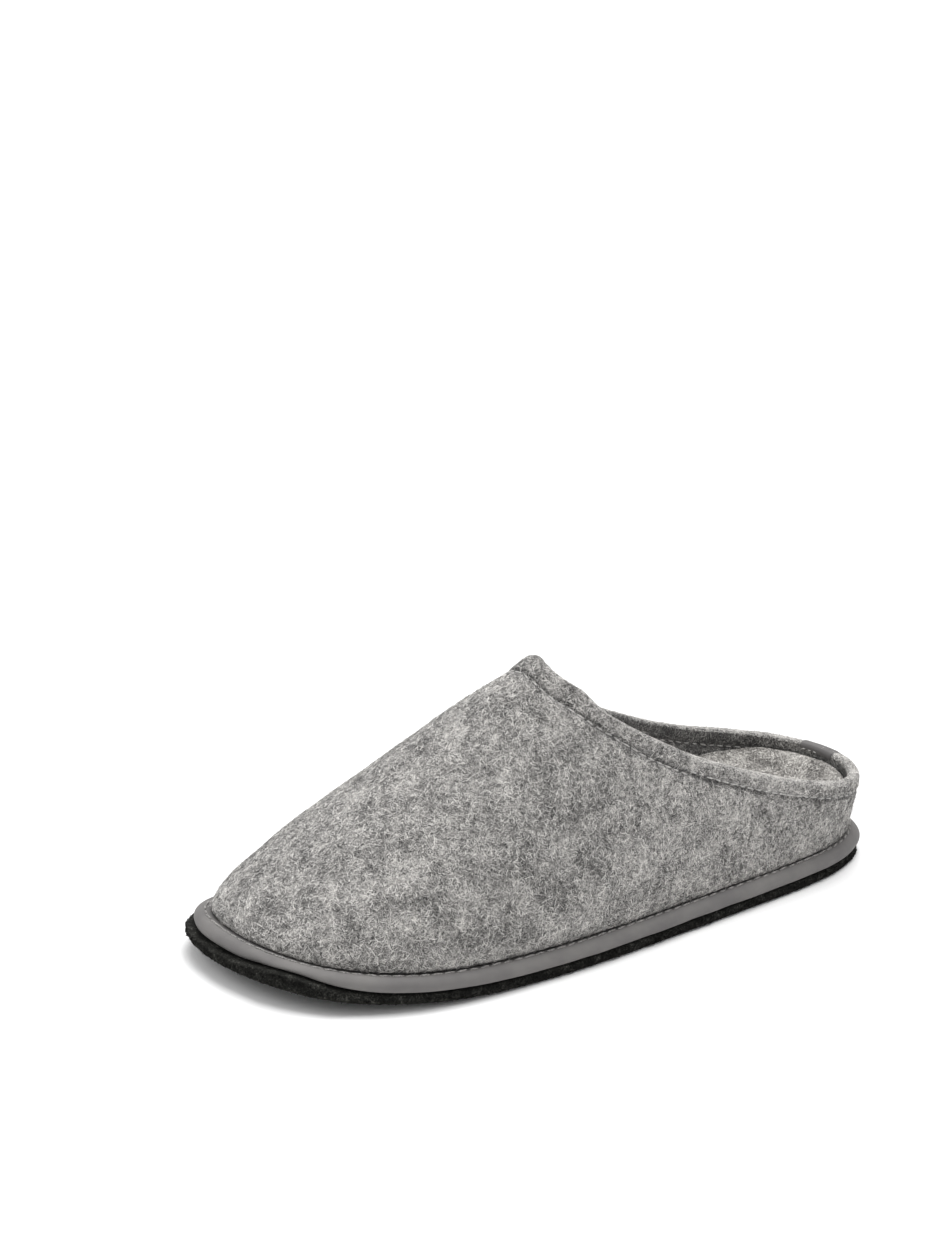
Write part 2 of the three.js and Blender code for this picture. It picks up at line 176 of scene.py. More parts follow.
def felt_material(name, stops, strand=0.62, depth=0.5):
    """Wool felt: ramp stops from dark to light, strand width and bump depth in millimetres."""
    material, tree, output = new_material(name)
    where = add_node(tree, "ShaderNodeTexCoord").outputs["Object"]
    swirl = add_node(tree, "ShaderNodeTexNoise", sockets={
        "Scale": per_mm(3.2), "Detail": 1}, links={"Vector": where})
    centred = add_node(tree, "ShaderNodeVectorMath", {"operation": "SUBTRACT"}, {
        1: (0.5, 0.5, 0.5)}, {0: swirl.outputs["Color"]})
    pulled = add_node(tree, "ShaderNodeVectorMath", {"operation": "SCALE"}, {
        "Scale": 3 * MM}, {0: centred.outputs["Vector"]})
    warped = add_node(tree, "ShaderNodeVectorMath", {"operation": "ADD"}, None, {
        0: where, 1: pulled.outputs["Vector"]})
    strands = add_node(tree, "ShaderNodeTexNoise", sockets={
        "Scale": per_mm(strand), "Detail": 2, "Roughness": 0.7}, links={
        "Vector": warped.outputs["Vector"]})
    tufts = add_node(tree, "ShaderNodeTexNoise", sockets={
        "Scale": per_mm(3.2), "Detail": 2}, links={"Vector": warped.outputs["Vector"]})
    patches = add_node(tree, "ShaderNodeAttribute", {"attribute_name": "melange"})
    coarse = add_node(tree, "ShaderNodeMix", sockets={0: 0.5}, links={
        2: tufts.outputs["Fac"], 3: patches.outputs["Fac"]})
    tone = add_node(tree, "ShaderNodeMix", sockets={0: 0.36}, links={
        2: strands.outputs["Fac"], 3: coarse.outputs[0]})
    colour = add_node(tree, "ShaderNodeValToRGB", links={"Fac": tone.outputs[0]})
    set_ramp(colour, stops)
    bump = add_node(tree, "ShaderNodeBump", sockets={
        "Strength": 0.8, "Distance": depth * MM}, links={"Height": strands.outputs["Fac"]})
    surface = add_node(tree, "ShaderNodeBsdfPrincipled", sockets={
        "Roughness": 0.92, "IOR": WOOL_IOR, "Specular IOR Level": 0.2,
        "Sheen Weight": 0.25, "Sheen Roughness": 0.6}, links={
        "Base Color": colour.outputs["Color"], "Normal": bump.outputs["Normal"]})
    tree.links.new(surface.outputs["BSDF"], output.inputs["Surface"])
    return material


grey_felt = felt_material("grey_melange_wool_felt", [
    (0.37, "#272625"), (0.46, "#61605e"), (0.54, "#999794"), (0.63, "#cecbc7")])
warm_felt = felt_material("warm_melange_wool_felt", [
    (0.37, "#383533"), (0.46, "#716e6a"), (0.54, "#a09d98"), (0.63, "#cdcac5")])
print("felt finishes", grey_felt.name, warm_felt.name)

# %% [markdown]
# # Wool hairs
# The hairs that stand off the mat are the same wool. Each carries its own tone from 0 to 1 as
# an attribute, from dark grey to near-white, and a little sheen that lights up its edges.

# %% Hair finish
def hair_material(name, stops):
    """Single wool hairs, coloured by their own tone."""
    material, tree, output = new_material(name)
    tone = add_node(tree, "ShaderNodeAttribute", {"attribute_name": "tone"})
    colour = add_node(tree, "ShaderNodeValToRGB", links={"Fac": tone.outputs["Fac"]})
    set_ramp(colour, stops)
    surface = add_node(tree, "ShaderNodeBsdfPrincipled", sockets={
        "Roughness": 0.7, "IOR": WOOL_IOR, "Specular IOR Level": 0.3,
        "Sheen Weight": 0.2, "Sheen Roughness": 0.5}, links={
        "Base Color": colour.outputs["Color"]})
    tree.links.new(surface.outputs["BSDF"], output.inputs["Surface"])
    return material


grey_wool = hair_material("grey_wool_hair", [
    (0.0, "#1e1d1d"), (0.35, "#686664"), (0.65, "#afadaa"), (1.0, "#eae7e3")])
warm_wool = hair_material("warm_wool_hair", [
    (0.0, "#302e2c"), (0.35, "#777470"), (0.65, "#b3b0ab"), (1.0, "#edeae5")])
print("hair finishes", grey_wool.name, warm_wool.name)

# %% [markdown]
# # Cover, rubber and thread
# The edge of the platform and the heel strip are wrapped in imitation leather: a knitted backing
# with a thin coat of polyurethane, pressed with a fine grain. It is smooth and a little shiny,
# and where it is pulled it keeps soft light and dark stretches.
# The outsole is cut from a sheet of black foam rubber, whose open cells leave a dull, rough edge
# that picks up lint. The thread is spun polyester, matt and slightly hairy.

# %% Cover, rubber and thread finishes
def cover_material():
    """Imitation leather: polyurethane on cloth, with a pressed grain of 0.7 mm."""
    material, tree, output = new_material("grey_imitation_leather")
    where = add_node(tree, "ShaderNodeTexCoord").outputs["Object"]
    slow = add_node(tree, "ShaderNodeTexNoise", sockets={
        "Scale": per_mm(22), "Detail": 3, "Roughness": 0.6}, links={"Vector": where})
    colour = add_node(tree, "ShaderNodeValToRGB", links={"Fac": slow.outputs["Fac"]})
    set_ramp(colour, [(0.3, "#626060"), (0.5, "#6b6968"), (0.7, "#757371")])
    grain = add_node(tree, "ShaderNodeTexVoronoi", {"feature": "DISTANCE_TO_EDGE"}, {
        "Scale": per_mm(0.7)}, {"Vector": where})
    pores = add_node(tree, "ShaderNodeMapRange", None, {"From Max": 0.12}, {
        "Value": grain.outputs["Distance"]})
    pulls = add_node(tree, "ShaderNodeTexNoise", sockets={
        "Scale": per_mm(7), "Detail": 2}, links={"Vector": where})
    grained = add_node(tree, "ShaderNodeBump", sockets={
        "Strength": 0.25, "Distance": 0.08 * MM}, links={"Height": pores.outputs["Result"]})
    pulled = add_node(tree, "ShaderNodeBump", sockets={
        "Strength": 0.35, "Distance": 0.6 * MM}, links={
        "Height": pulls.outputs["Fac"], "Normal": grained.outputs["Normal"]})
    rough = add_node(tree, "ShaderNodeMapRange", None, {
        "To Min": 0.62, "To Max": 0.75}, {"Value": slow.outputs["Fac"]})
    surface = add_node(tree, "ShaderNodeBsdfPrincipled", sockets={
        "IOR": 1.5, "Specular IOR Level": 0.25, "Coat Weight": 0.03, "Coat Roughness": 0.5},
        links={"Base Color": colour.outputs["Color"], "Roughness": rough.outputs["Result"],
               "Normal": pulled.outputs["Normal"]})
    tree.links.new(surface.outputs["BSDF"], output.inputs["Surface"])
    return material


def rubber_material():
    """Black foam rubber: open cells of about 0.5 mm and specks of grey lint."""
    material, tree, output = new_material("black_foam_rubber")
    where = add_node(tree, "ShaderNodeTexCoord").outputs["Object"]
    cells = add_node(tree, "ShaderNodeTexNoise", sockets={
        "Scale": per_mm(0.6), "Detail": 3, "Roughness": 0.65}, links={"Vector": where})
    lumps = add_node(tree, "ShaderNodeTexNoise", sockets={
        "Scale": per_mm(4), "Detail": 3}, links={"Vector": where})
    dust = add_node(tree, "ShaderNodeMix", sockets={0: 0.35}, links={
        2: cells.outputs["Fac"], 3: lumps.outputs["Fac"]})
    colour = add_node(tree, "ShaderNodeValToRGB", links={"Fac": dust.outputs[0]})
    set_ramp(colour, [(0.35, "#0c0c0b"), (0.5, "#1d1d1b"), (0.6, "#3a3a37"), (0.7, "#6b6a66")])
    bump = add_node(tree, "ShaderNodeBump", sockets={
        "Strength": 0.9, "Distance": 0.45 * MM}, links={"Height": cells.outputs["Fac"]})
    surface = add_node(tree, "ShaderNodeBsdfPrincipled", sockets={
        "Roughness": 0.95, "IOR": 1.52, "Specular IOR Level": 0.12}, links={
        "Base Color": colour.outputs["Color"], "Normal": bump.outputs["Normal"]})
    tree.links.new(surface.outputs["BSDF"], output.inputs["Surface"])
    return material


def thread_material(name, dark, light):
    """Spun polyester thread: fine mottle of its plies."""
    material, tree, output = new_material(name)
    where = add_node(tree, "ShaderNodeTexCoord").outputs["Object"]
    plies = add_node(tree, "ShaderNodeTexNoise", sockets={
        "Scale": per_mm(0.4), "Detail": 1}, links={"Vector": where})
    colour = add_node(tree, "ShaderNodeValToRGB", links={"Fac": plies.outputs["Fac"]})
    set_ramp(colour, [(0.35, dark), (0.65, light)])
    bump = add_node(tree, "ShaderNodeBump", sockets={
        "Strength": 0.5, "Distance": 0.1 * MM}, links={"Height": plies.outputs["Fac"]})
    surface = add_node(tree, "ShaderNodeBsdfPrincipled", sockets={
        "Roughness": 0.75, "IOR": 1.6, "Specular IOR Level": 0.3, "Sheen Weight": 0.1}, links={
        "Base Color": colour.outputs["Color"], "Normal": bump.outputs["Normal"]})
    tree.links.new(surface.outputs["BSDF"], output.inputs["Surface"])
    return material


cover = cover_material()
rubber = rubber_material()
hem_thread = thread_material("grey_polyester_thread", "#969492", "#dad8d5")
seam_thread = thread_material("dark_grey_polyester_thread", "#504e4d", "#a5a3a0")
white_thread = thread_material("white_polyester_thread", "#b9b7b4", "#e9e7e4")
print("finishes", len(bpy.data.materials))

# %% [markdown]
# # A copy of a solid, ready to be soft
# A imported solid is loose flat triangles. Its copy has its corners merged, and the diagonals are
# taken out so that it is four-sided faces again: only those subdivide into smooth felt. On the
# upper, six edges meet at each corner, so a line that goes straight on through every corner
# runs either once round the foot or once round the wall. These lines are kept as a grid of
# rows and columns, because stitches and dents on a shoe are laid out along them.

# %% Copies of the solids
def merged_copy(node):
    """A bmesh of a CAD node with its corners merged."""
    mesh = bmesh.new()
    mesh.from_mesh(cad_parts[node].data)
    bmesh.ops.remove_doubles(mesh, verts=mesh.verts, dist=0.02 * MM)
    return mesh


def edges_around(vertex):
    """The edges at a vertex, in order round it."""
    loop = vertex.link_loops[0]
    edges = []
    while loop.edge not in edges:
        edges.append(loop.edge)
        loop = loop.link_loop_prev.link_loop_radial_next
    return edges


def straight_line(vertex, edge):
    """The vertices passed when going straight on from vertex along edge, back to the start."""
    line = [vertex]
    here = edge.other_vert(vertex)
    while here != vertex and len(line) < 200:
        line.append(here)
        around = edges_around(here)
        edge = around[(around.index(edge) + 3) % 6]
        here = edge.other_vert(here)
    return line


HEEL_DEPTH = 9
HEEL_MIDDLE = 4


def wall_grid(mesh):
    """The upper's vertices as rows round the foot, from the collar's crest down the outside."""
    behind = max(v.co.y for v in mesh.verts) - HEEL_DEPTH * MM
    near = [v for v in mesh.verts if v.co.y > behind and abs(v.co.x) < HEEL_MIDDLE * MM]
    crest = max(near, key=lambda v: v.co.z)
    around = edges_around(crest)
    lines = [(k, straight_line(crest, edge)) for k, edge in enumerate(around)]
    lines = sorted((line for line in lines if len(line[1]) < 200), key=lambda item: len(item[1]))
    down, column = max(lines[:2], key=lambda item: item[1][1].co.y)
    round_foot, _ = max(lines[2:], key=lambda item: item[1][1].co.x)
    step = (round_foot - down) % 6
    rows = []
    for k, vertex in enumerate(column):
        onward = next(e for e in vertex.link_edges
                      if e.other_vert(vertex) == column[(k + 1) % len(column)])
        at = edges_around(vertex)
        rows.append(straight_line(vertex, at[(at.index(onward) + step) % 6]))
    return rows


felt = merged_copy("upper")
outside_layer = felt.verts.layers.float.new("outside")
wall = wall_grid(felt)
print("upper", len(wall), "rows of", {len(row) for row in wall})

# %% [markdown]
# # From a coarse cage to a smooth skin
# Catmull-Clark subdivision rounds a cage of four-sided faces into the skin that the solid's
# facets stand for. It is done here once and kept as plain mesh data, because the dents and
# swells that come next need its many small faces. The diagonals are found in two ways: on the
# upper they are simply the edges that lie on no line of its grid; on the other pieces Blender
# pairs the triangles itself.

# %% Cages and skins
def keep_lines(mesh, rows):
    """Takes out the edges that lie on no row or column of the grid."""
    kept = set()
    for k, row in enumerate(rows):
        below = rows[(k + 1) % len(rows)]
        for i, vertex in enumerate(row):
            kept.add(frozenset((vertex, row[(i + 1) % len(row)])))
            kept.add(frozenset((vertex, below[i])))
    diagonals = [e for e in mesh.edges if frozenset(e.verts) not in kept]
    bmesh.ops.dissolve_edges(mesh, edges=diagonals)
    return len(diagonals)


def pair_triangles(mesh):
    """Joins the triangles in pairs, into four-sided faces."""
    bmesh.ops.join_triangles(
        mesh, faces=mesh.faces, angle_face_threshold=math.radians(70),
        angle_shape_threshold=math.radians(130))


def skin_of(mesh, name, levels):
    """The smooth skin round a cage, as mesh data of its own."""
    cage = bpy.data.meshes.new(name)
    mesh.to_mesh(cage)
    mesh.free()
    holder = bpy.data.objects.new(name, cage)
    bpy.context.scene.collection.objects.link(holder)
    smooth = holder.modifiers.new("smooth", "SUBSURF")
    smooth.levels = smooth.render_levels = levels
    depsgraph = bpy.context.evaluated_depsgraph_get()
    skin = bpy.data.meshes.new_from_object(holder.evaluated_get(depsgraph), depsgraph=depsgraph)
    bpy.data.objects.remove(holder)
    bpy.data.meshes.remove(cage)
    skin.name = name
    return skin


def crease_rows(mesh, rows, sharpness):
    """Keeps rows of edges from being rounded off too far by the subdivision."""
    layer = mesh.edges.layers.float.new("crease_edge")
    for row in rows:
        for k, vertex in enumerate(row):
            mesh.edges.get((vertex, row[k - 1]))[layer] = sharpness


CREST_TO_SEAM = 18
RIM_ROWS = (1, 2, 29, 30)
RIM_SHARPNESS = 0.6
wall_points = np.array([[vertex.co[:] for vertex in row] for row in wall])
print("diagonals taken out", keep_lines(felt, wall))
crease_rows(felt, [wall[k] for k in RIM_ROWS], RIM_SHARPNESS)
for k, row in enumerate(wall):
    for vertex in row:
        vertex[outside_layer] = float(k <= CREST_TO_SEAM)
felt_skin = skin_of(felt, "felt_upper", 2)
print("felt skin", len(felt_skin.polygons), "faces")

# %% [markdown]
# # Points, normals and smooth chance
# The skins have tens of thousands of points, so they are moved as arrays. Felt is uneven in a
# smooth way, and its blend is too: a sum of a few dozen waves with random directions and
# phases gives such a field. Its seed is fixed, so that the slipper is the same every time.

# %% Arrays and fields
def points_of(data):
    """A mesh's points as an array."""
    values = np.empty(len(data.vertices) * 3)
    data.vertices.foreach_get("co", values)
    return values.reshape(-1, 3)


def normals_of(data):
    """A mesh's normals at its points."""
    values = np.empty(len(data.vertices) * 3)
    data.vertices.foreach_get("normal", values)
    return values.reshape(-1, 3)


def tree_of(skin):
    """A search tree for the nearest point on a skin."""
    return BVHTree.FromPolygons(
        points_of(skin).tolist(), [tuple(face.vertices) for face in skin.polygons])


def move_points(data, points):
    """Puts a mesh's points in new places."""
    data.vertices.foreach_set("co", points.ravel())
    data.update()


def wave_field(seed, shortest, longest, count=30):
    """A smooth random field about 0, whose waves are so many millimetres long."""
    chance = np.random.default_rng(seed)
    headings = chance.normal(size=(count, 3))
    headings /= np.linalg.norm(headings, axis=1)[:, None]
    waves = headings * (2 * math.pi / (chance.uniform(shortest, longest, count) * MM))[:, None]
    phases = chance.uniform(0, 2 * math.pi, count)

    def field(points):
        return np.sin(points @ waves.T + phases).sum(axis=1) * math.sqrt(2 / count)

    return field


def distances(places, line):
    """The distance from each place to the nearest point of a line or cloud of points."""
    tree = KDTree(len(line))
    for k, point in enumerate(line):
        tree.insert(point, k)
    tree.balance()
    return np.array([tree.find(place)[2] for place in places])


def even_steps(line, pitch, closed=True):
    """Points at even steps of about the pitch along a line of points, and the way onwards."""
    ends = np.vstack([line, line[:1]]) if closed else line
    lengths = np.linalg.norm(np.diff(ends, axis=0), axis=1)
    reached = np.concatenate([[0], np.cumsum(lengths)])
    count = round(reached[-1] / (pitch * MM))
    steps = (np.arange(count) + 0.5) * reached[-1] / count
    at = [np.stack([np.interp(steps + d, reached, ends[:, k]) for k in range(3)], 1)
          for d in (-MM / 2, 0, MM / 2)]
    ways = at[2] - at[0]
    return at[1], ways / np.linalg.norm(ways, axis=1)[:, None]


small_patches = wave_field(11, 2.5, 7)
large_patches = wave_field(12, 9, 22)
SMALL_TONE = 0.17
LARGE_TONE = 0.13


def melange_at(points):
    """How light the blend of wool is at these points, from 0 to 1."""
    blend = 0.5 + SMALL_TONE * small_patches(points) + LARGE_TONE * large_patches(points)
    return np.clip(blend, 0, 1)


def values_of(data, name):
    """The values that a mesh keeps at its points under a name."""
    values = np.empty(len(data.vertices), dtype=np.float32)
    data.attributes[name].data.foreach_get("value", values)
    return values


def store(data, name, values):
    """Keeps a value at each point for the finish to read."""
    layer = data.attributes.new(name, "FLOAT", "POINT")
    layer.data.foreach_set("value", values.astype(np.float32))


# %% [markdown]
# # Pieces
# Each finished piece rides on the slipper's only body and gets its finish. A piece made from a
# solid's copy also stands for that solid.

# %% Making a piece
def add_piece(data, material, stands_for=None):
    """Puts a mesh into the scene as a piece of the slipper."""
    piece = bpy.data.objects.new(data.name, data)
    bpy.context.scene.collection.objects.link(piece)
    data.materials.clear()
    data.materials.append(material)
    data.shade_smooth()
    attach(piece, "root")
    if stands_for:
        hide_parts(stands_for)
    data.calc_loop_triangles()
    print(piece.name, len(data.loop_triangles), "triangles")
    return piece


# %% [markdown]
# # Dents and swells in the upper
# Felt that was pulled over a last and sewn by hand is never quite even. The main forms are
# given one by one, each as a line between two places on the wall: how far round the foot, from
# the middle of the heel by way of the outer side, and how far up from the sole's seam to the
# collar. The wall moves along its own outward direction there, or along the way that the form
# names, both skins together, and fades out with the distance from the line. Below all of them
# lies a slow unevenness of a tenth of a millimetre, and the two lines of hem stitches press
# their grooves deeper. The blend of wool is stored here too, with painted shade in the grooves and
# inside the slipper, and a painted highlight along the crest.

# %% The upper's soft forms
TURNS = wall_points.shape[1]


def wall_place(turn, climb):
    """The point on the wall's outside at a turn round the foot and a climb up the wall."""
    row = CREST_TO_SEAM * (1 - climb)
    column = (turn % 1) * TURNS
    low, left = int(row), int(column)
    a, b = row - low, column - left
    rows = (wall_points[low], wall_points[min(low + 1, CREST_TO_SEAM)])
    upper_row, lower_row = (r[left] * (1 - b) + r[(left + 1) % TURNS] * b for r in rows)
    return upper_row * (1 - a) + lower_row * a


SoftForm = namedtuple("SoftForm", "name start end width out way", defaults=[None])
SOFT_FORMS = [
    SoftForm("hollow under the collar", (0.13, 0.66), (0.27, 0.62), 11, -0.9),
    SoftForm("swell along the outer side", (0.1, 0.36), (0.3, 0.3), 13, 0.6),
    SoftForm("trough over the outer ball", (0.335, 0.2), (0.4, 0.62), 10, -0.8),
    SoftForm("swell over the toes", (0.43, 0.22), (0.47, 0.5), 15, 0.7),
    SoftForm("trough behind the toes", (0.5, 0.35), (0.58, 0.62), 10, -0.6),
    SoftForm("dimple at the big toe", (0.57, 0.14), (0.61, 0.2), 8, -0.6),
    SoftForm("dent at the back of the heel", (0.95, 0.68), (0.06, 0.68), 5, -0.5),
    SoftForm("slimmer inner flank below the throat", (0.57, 0.72), (0.545, 0.99), 13, -1.8),
    SoftForm("lip at the throat", (0.485, 1.0), (0.51, 1.0), 6, 1.5, (0, 0.4, 0.92)),
    SoftForm("raised collar beside the throat", (0.372, 1.0), (0.455, 1.0), 7, 2.5, (0, 0.25, 0.97)),
    SoftForm("hollow on the inner side", (0.7, 0.55), (0.8, 0.6), 12, -0.8),
    SoftForm("swell at the inner heel", (0.84, 0.4), (0.93, 0.4), 9, 0.5),
]


def nearness(points, start, end, width):
    """1 on the line from start to end, fading to 0 over the width."""
    along = end - start
    share = np.clip((points - start) @ along / (along @ along), 0, 1)
    gap = np.linalg.norm(points - start - share[:, None] * along, axis=1)
    return np.exp(-(gap / (width * MM)) ** 2)


felt_tree = tree_of(felt_skin)
points = points_of(felt_skin)
moved = points.copy()
for form in SOFT_FORMS:
    start, end = wall_place(*form.start), wall_place(*form.end)
    _, outward, _, _ = felt_tree.find_nearest(Vector((start + end) / 2))
    share = nearness(points, start, end, form.width)
    moved += share[:, None] * np.array(form.way or outward) * form.out * MM
    print(form.name, int((share > 0.1).sum()), "points")

OUTER_HEM_ROW = 6
INNER_HEM_ROW = 27
GROOVE = {"width": 0.9, "depth": 0.55}
LUMPS = {"height": 0.12, "full above seam": 8}
CREST_HIGHLIGHT_WIDTH = 2
# Painted light in the upper's stored tone: painted shade in the hem grooves and inside the slipper, a
# painted highlight along the crest.
PAINTED_LIGHT_TONES = {"groove": -0.45, "inside": -0.3, "crest_highlight": 0.3}
lumps = wave_field(13, 16, 42)
hem_lines = [even_steps(wall_points[row], 0.7)[0] for row in (OUTER_HEM_ROW, INNER_HEM_ROW)]
hem_gap = distances(points, np.concatenate(hem_lines)) / MM
pressed = np.exp(-(hem_gap / GROOVE["width"]) ** 2)
seam = wall_points[CREST_TO_SEAM]
above_seam = (points[:, 2] - seam[:, 2].min()) / (LUMPS["full above seam"] * MM)
outwards = normals_of(felt_skin)
rise = LUMPS["height"] * np.clip(above_seam, 0, 1) * lumps(points) - GROOVE["depth"] * pressed
moved += outwards * (MM * rise)[:, None]
move_points(felt_skin, moved)
inner_side = 1 - values_of(felt_skin, "outside")
crest_line, _ = even_steps(wall_points[0], 1)
crest_gap = distances(points, crest_line) / MM
# A painted highlight along the collar's rounded crest, lighter where light falls on its top.
crest_highlight = np.exp(-(crest_gap / CREST_HIGHLIGHT_WIDTH) ** 2)
blend = 0.5 + LARGE_TONE * large_patches(points)
# Painted shade in the hem grooves and inside the slipper, and a painted highlight along the crest,
# are added to the wool's patches.
blend += PAINTED_LIGHT_TONES["groove"] * pressed + PAINTED_LIGHT_TONES["inside"] * inner_side + PAINTED_LIGHT_TONES["crest_highlight"] * crest_highlight
store(felt_skin, "melange", np.clip(blend, 0, 1))
felt_upper = add_piece(felt_skin, grey_felt, "upper")

# %% [markdown]
# # The footbed
# Under the foot lies a thick cushion with a cupped heel, covered in a warmer grey felt. It is
# foam, so it stays where the solid is and only gets a little uneven, as felt does over foam.

# %% Footbed
DIMPLE_DEPTH = 0.3
bed = merged_copy("footbed")
pair_triangles(bed)
print("footbed cage: triangles left", sum(len(face.verts) == 3 for face in bed.faces))
bed_skin = skin_of(bed, "felt_footbed", 2)
points = points_of(bed_skin)
top_faces = np.clip(normals_of(bed_skin)[:, 2], 0, 1)
dimples = wave_field(21, 9, 30)
points[:, 2] += DIMPLE_DEPTH * MM * top_faces * dimples(points)
move_points(bed_skin, points)
store(bed_skin, "melange", np.clip(0.5 + LARGE_TONE * large_patches(points), 0, 1))
felt_footbed = add_piece(bed_skin, warm_felt, "footbed")

# %% [markdown]
# # The sole's rise and its lip
# The sole lifts off the floor at the toe, so heights on its edge are counted from its own
# underside at the same station along the slipper. At the outer front corner the black sheet
# stands up over the foot of the grey edge like a lip. Its place is given as shares of half the
# slipper's width and length, and both pieces that meet there read the same function.

# %% The sole's rise and its lip
half_size = np.array(cad_high - cad_low) / 2
MIDSOLE_UNDERSIDE = 4.3
SHEET_THICKNESS = 4
TOE_LIP = {"at": (0.4, -0.935), "width": 17, "up": 2.6}
sole_points = points_of(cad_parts["outsole"].data)
stations = np.linspace(sole_points[:, 1].min(), sole_points[:, 1].max(), 60)
station_heights = [sole_points[np.abs(sole_points[:, 1] - y) < 3 * MM, 2].min() for y in stations]


def height_on_sole(points):
    """The points' height in millimetres above the sole's underside, which rises at the toe."""
    return (points[:, 2] - np.interp(points[:, 1], stations, station_heights)) / MM


def plan_nearness(points, centre, width):
    """1 above a place given in shares of half the width and length, fading over the width."""
    gap = np.linalg.norm(points[:, :2] - np.array(centre) * half_size[:2], axis=1)
    return np.exp(-(gap / (width * MM)) ** 2)


def lip_at(points):
    """How far the black sheet stands up at these points, in metres."""
    return TOE_LIP["up"] * MM * plan_nearness(points, TOE_LIP["at"], TOE_LIP["width"])


print("the sole rises", round((max(station_heights) - min(station_heights)) / MM, 1), "mm")

# %% [markdown]
# # The wrapped edge
# A cover strip is sewn to the felt, turned down over the platform's edge and glued underneath.
# It was pulled by hand, so its lower edge swings a little in and out, and it has a few short
# puckers where the glue caught it. These are given one by one in plan, in the same shares as the
# lip; the slow swing is a field that mostly moves the lower half.

# %% Wrapped edge
PUCKERS = [
    {"at": (0.13, -0.95), "width": 5, "out": -0.7},
    {"at": (0.3, -0.92), "width": 7, "out": 0.35},
    {"at": (0.956, -0.54), "width": 6, "out": -0.6},
    {"at": (0.9, -0.11), "width": 8, "out": 0.3},
    {"at": (0.83, 0.21), "width": 4, "out": -0.6},
    {"at": (0.8, 0.28), "width": 4, "out": 0.4},
    {"at": (0.77, 0.36), "width": 5, "out": -0.5},
    {"at": (-0.62, 0.1), "width": 6, "out": -0.5},
    {"at": (-0.9, -0.7), "width": 7, "out": -0.5},
]
EDGE_SWING = 0.22
LIP_FADES_AT = 5.6
band = merged_copy("wrapped_midsole")
pair_triangles(band)
print("band cage: triangles left", sum(len(face.verts) == 3 for face in band.faces))
band_skin = skin_of(band, "wrapped_edge", 3)
points = points_of(band_skin)
outwards = normals_of(band_skin)
outwards[:, 2] = 0
height = height_on_sole(points) - MIDSOLE_UNDERSIDE
lower_half = np.clip(1.3 - height / 4, 0.1, 1)
swing = wave_field(31, 14, 45)
shift = EDGE_SWING * swing(points) * lower_half
for pucker in PUCKERS:
    shift += pucker["out"] * plan_nearness(points, pucker["at"], pucker["width"]) * lower_half
points = points + outwards * (shift * MM)[:, None]
points[:, 2] += lip_at(points) * np.clip(1 - height / LIP_FADES_AT, 0, 1)
move_points(band_skin, points)
wrapped_edge = add_piece(band_skin, cover, "wrapped_midsole")

# %% [markdown]
# # The outsole
# The foam rubber sheet was cut round the finished shoe with a blade, which leaves a rough, torn
# wall. Only the cut wall is roughened: its points move in and out by some tenths of a
# millimetre, in short waves of 2 to 4 mm and long ones of 8 to 22 mm. The walking face stays
# flat.

# %% Outsole
TORN_DEPTH = 0.2
WAVY_DEPTH = 0.16
sheet = merged_copy("outsole")
pair_triangles(sheet)
print("outsole cage: triangles left", sum(len(face.verts) == 3 for face in sheet.faces))
sheet_skin = skin_of(sheet, "rubber_outsole", 3)
points = points_of(sheet_skin)
outwards = normals_of(sheet_skin)
cut_wall = np.clip(1.2 - 1.6 * np.abs(outwards[:, 2]), 0, 1)
outwards[:, 2] = 0
torn = wave_field(41, 1.8, 4)
wavy = wave_field(42, 8, 22)
shift = cut_wall * (TORN_DEPTH * torn(points) + WAVY_DEPTH * wavy(points))
height = height_on_sole(points)
points = points + outwards * (shift * MM)[:, None]
points[:, 2] += lip_at(points) * np.clip(height / SHEET_THICKNESS, 0, 1)
move_points(sheet_skin, points)
rubber_outsole = add_piece(sheet_skin, rubber, "outsole")

# %% [markdown]
# # The heel strip
# A short piece of the same cover is folded over the collar at the back of the heel. It bears no
# print. It keeps the solid's form, rounded, with its two ends cut straight, and is pressed down
# until it stands off the felt by a quarter of what the solid does.

# %% Heel strip
PRESSED_TO = 0.25
strip = merged_copy("heel_strip")
pair_triangles(strip)
strip_skin = skin_of(strip, "folded_strip", 2)
points = points_of(strip_skin)
felt_tree = tree_of(felt_skin)
spots = np.array([felt_tree.find_nearest(point)[0][:] for point in points])
move_points(strip_skin, spots + PRESSED_TO * (points - spots))
folded_strip = add_piece(strip_skin, cover, "heel_strip")

# %% [markdown]
# # Stitches
# A stitch that shows is a short piece of thread pulled into the material at both ends. It is
# modelled once, as a stretched ball, and a copy is laid at each place. The line that it follows
# is walked in even steps, each place is put onto the real surface with a nearest-point search,
# and its own frame has one axis along the line and one along the surface's normal. All copies
# become one mesh, because hundreds of objects would be slow and mean nothing more.

# %% Stitch helpers
def stitch_shape(length, thickness):
    """One stitch: a ball stretched along X."""
    mesh = bmesh.new()
    bmesh.ops.create_uvsphere(mesh, u_segments=8, v_segments=7, radius=0.5, matrix=Matrix.Rotation(
        math.pi / 2, 4, "Y"))
    bmesh.ops.scale(mesh, vec=Vector((length, thickness, thickness)) * MM, verts=mesh.verts)
    shape = bpy.data.meshes.new("stitch")
    mesh.to_mesh(shape)
    mesh.free()
    return shape


def lay_copies(name, shape, frames):
    """One mesh of many copies of a shape, each placed by a 4 x 4 frame."""
    corners = points_of(shape)
    faces = [tuple(face.vertices) for face in shape.polygons]
    places, all_faces = [], []
    for k, placed in enumerate(frames):
        matrix = np.array(placed)
        places.append(corners @ matrix[:3, :3].T + matrix[:3, 3])
        all_faces.extend(tuple(k * len(corners) + v for v in face) for face in faces)
    data = bpy.data.meshes.new(name)
    data.from_pydata(np.concatenate(places).tolist(), [], all_faces)
    return data


LENGTH_SPREAD = 0.08
SINK_SPREAD = 0.06


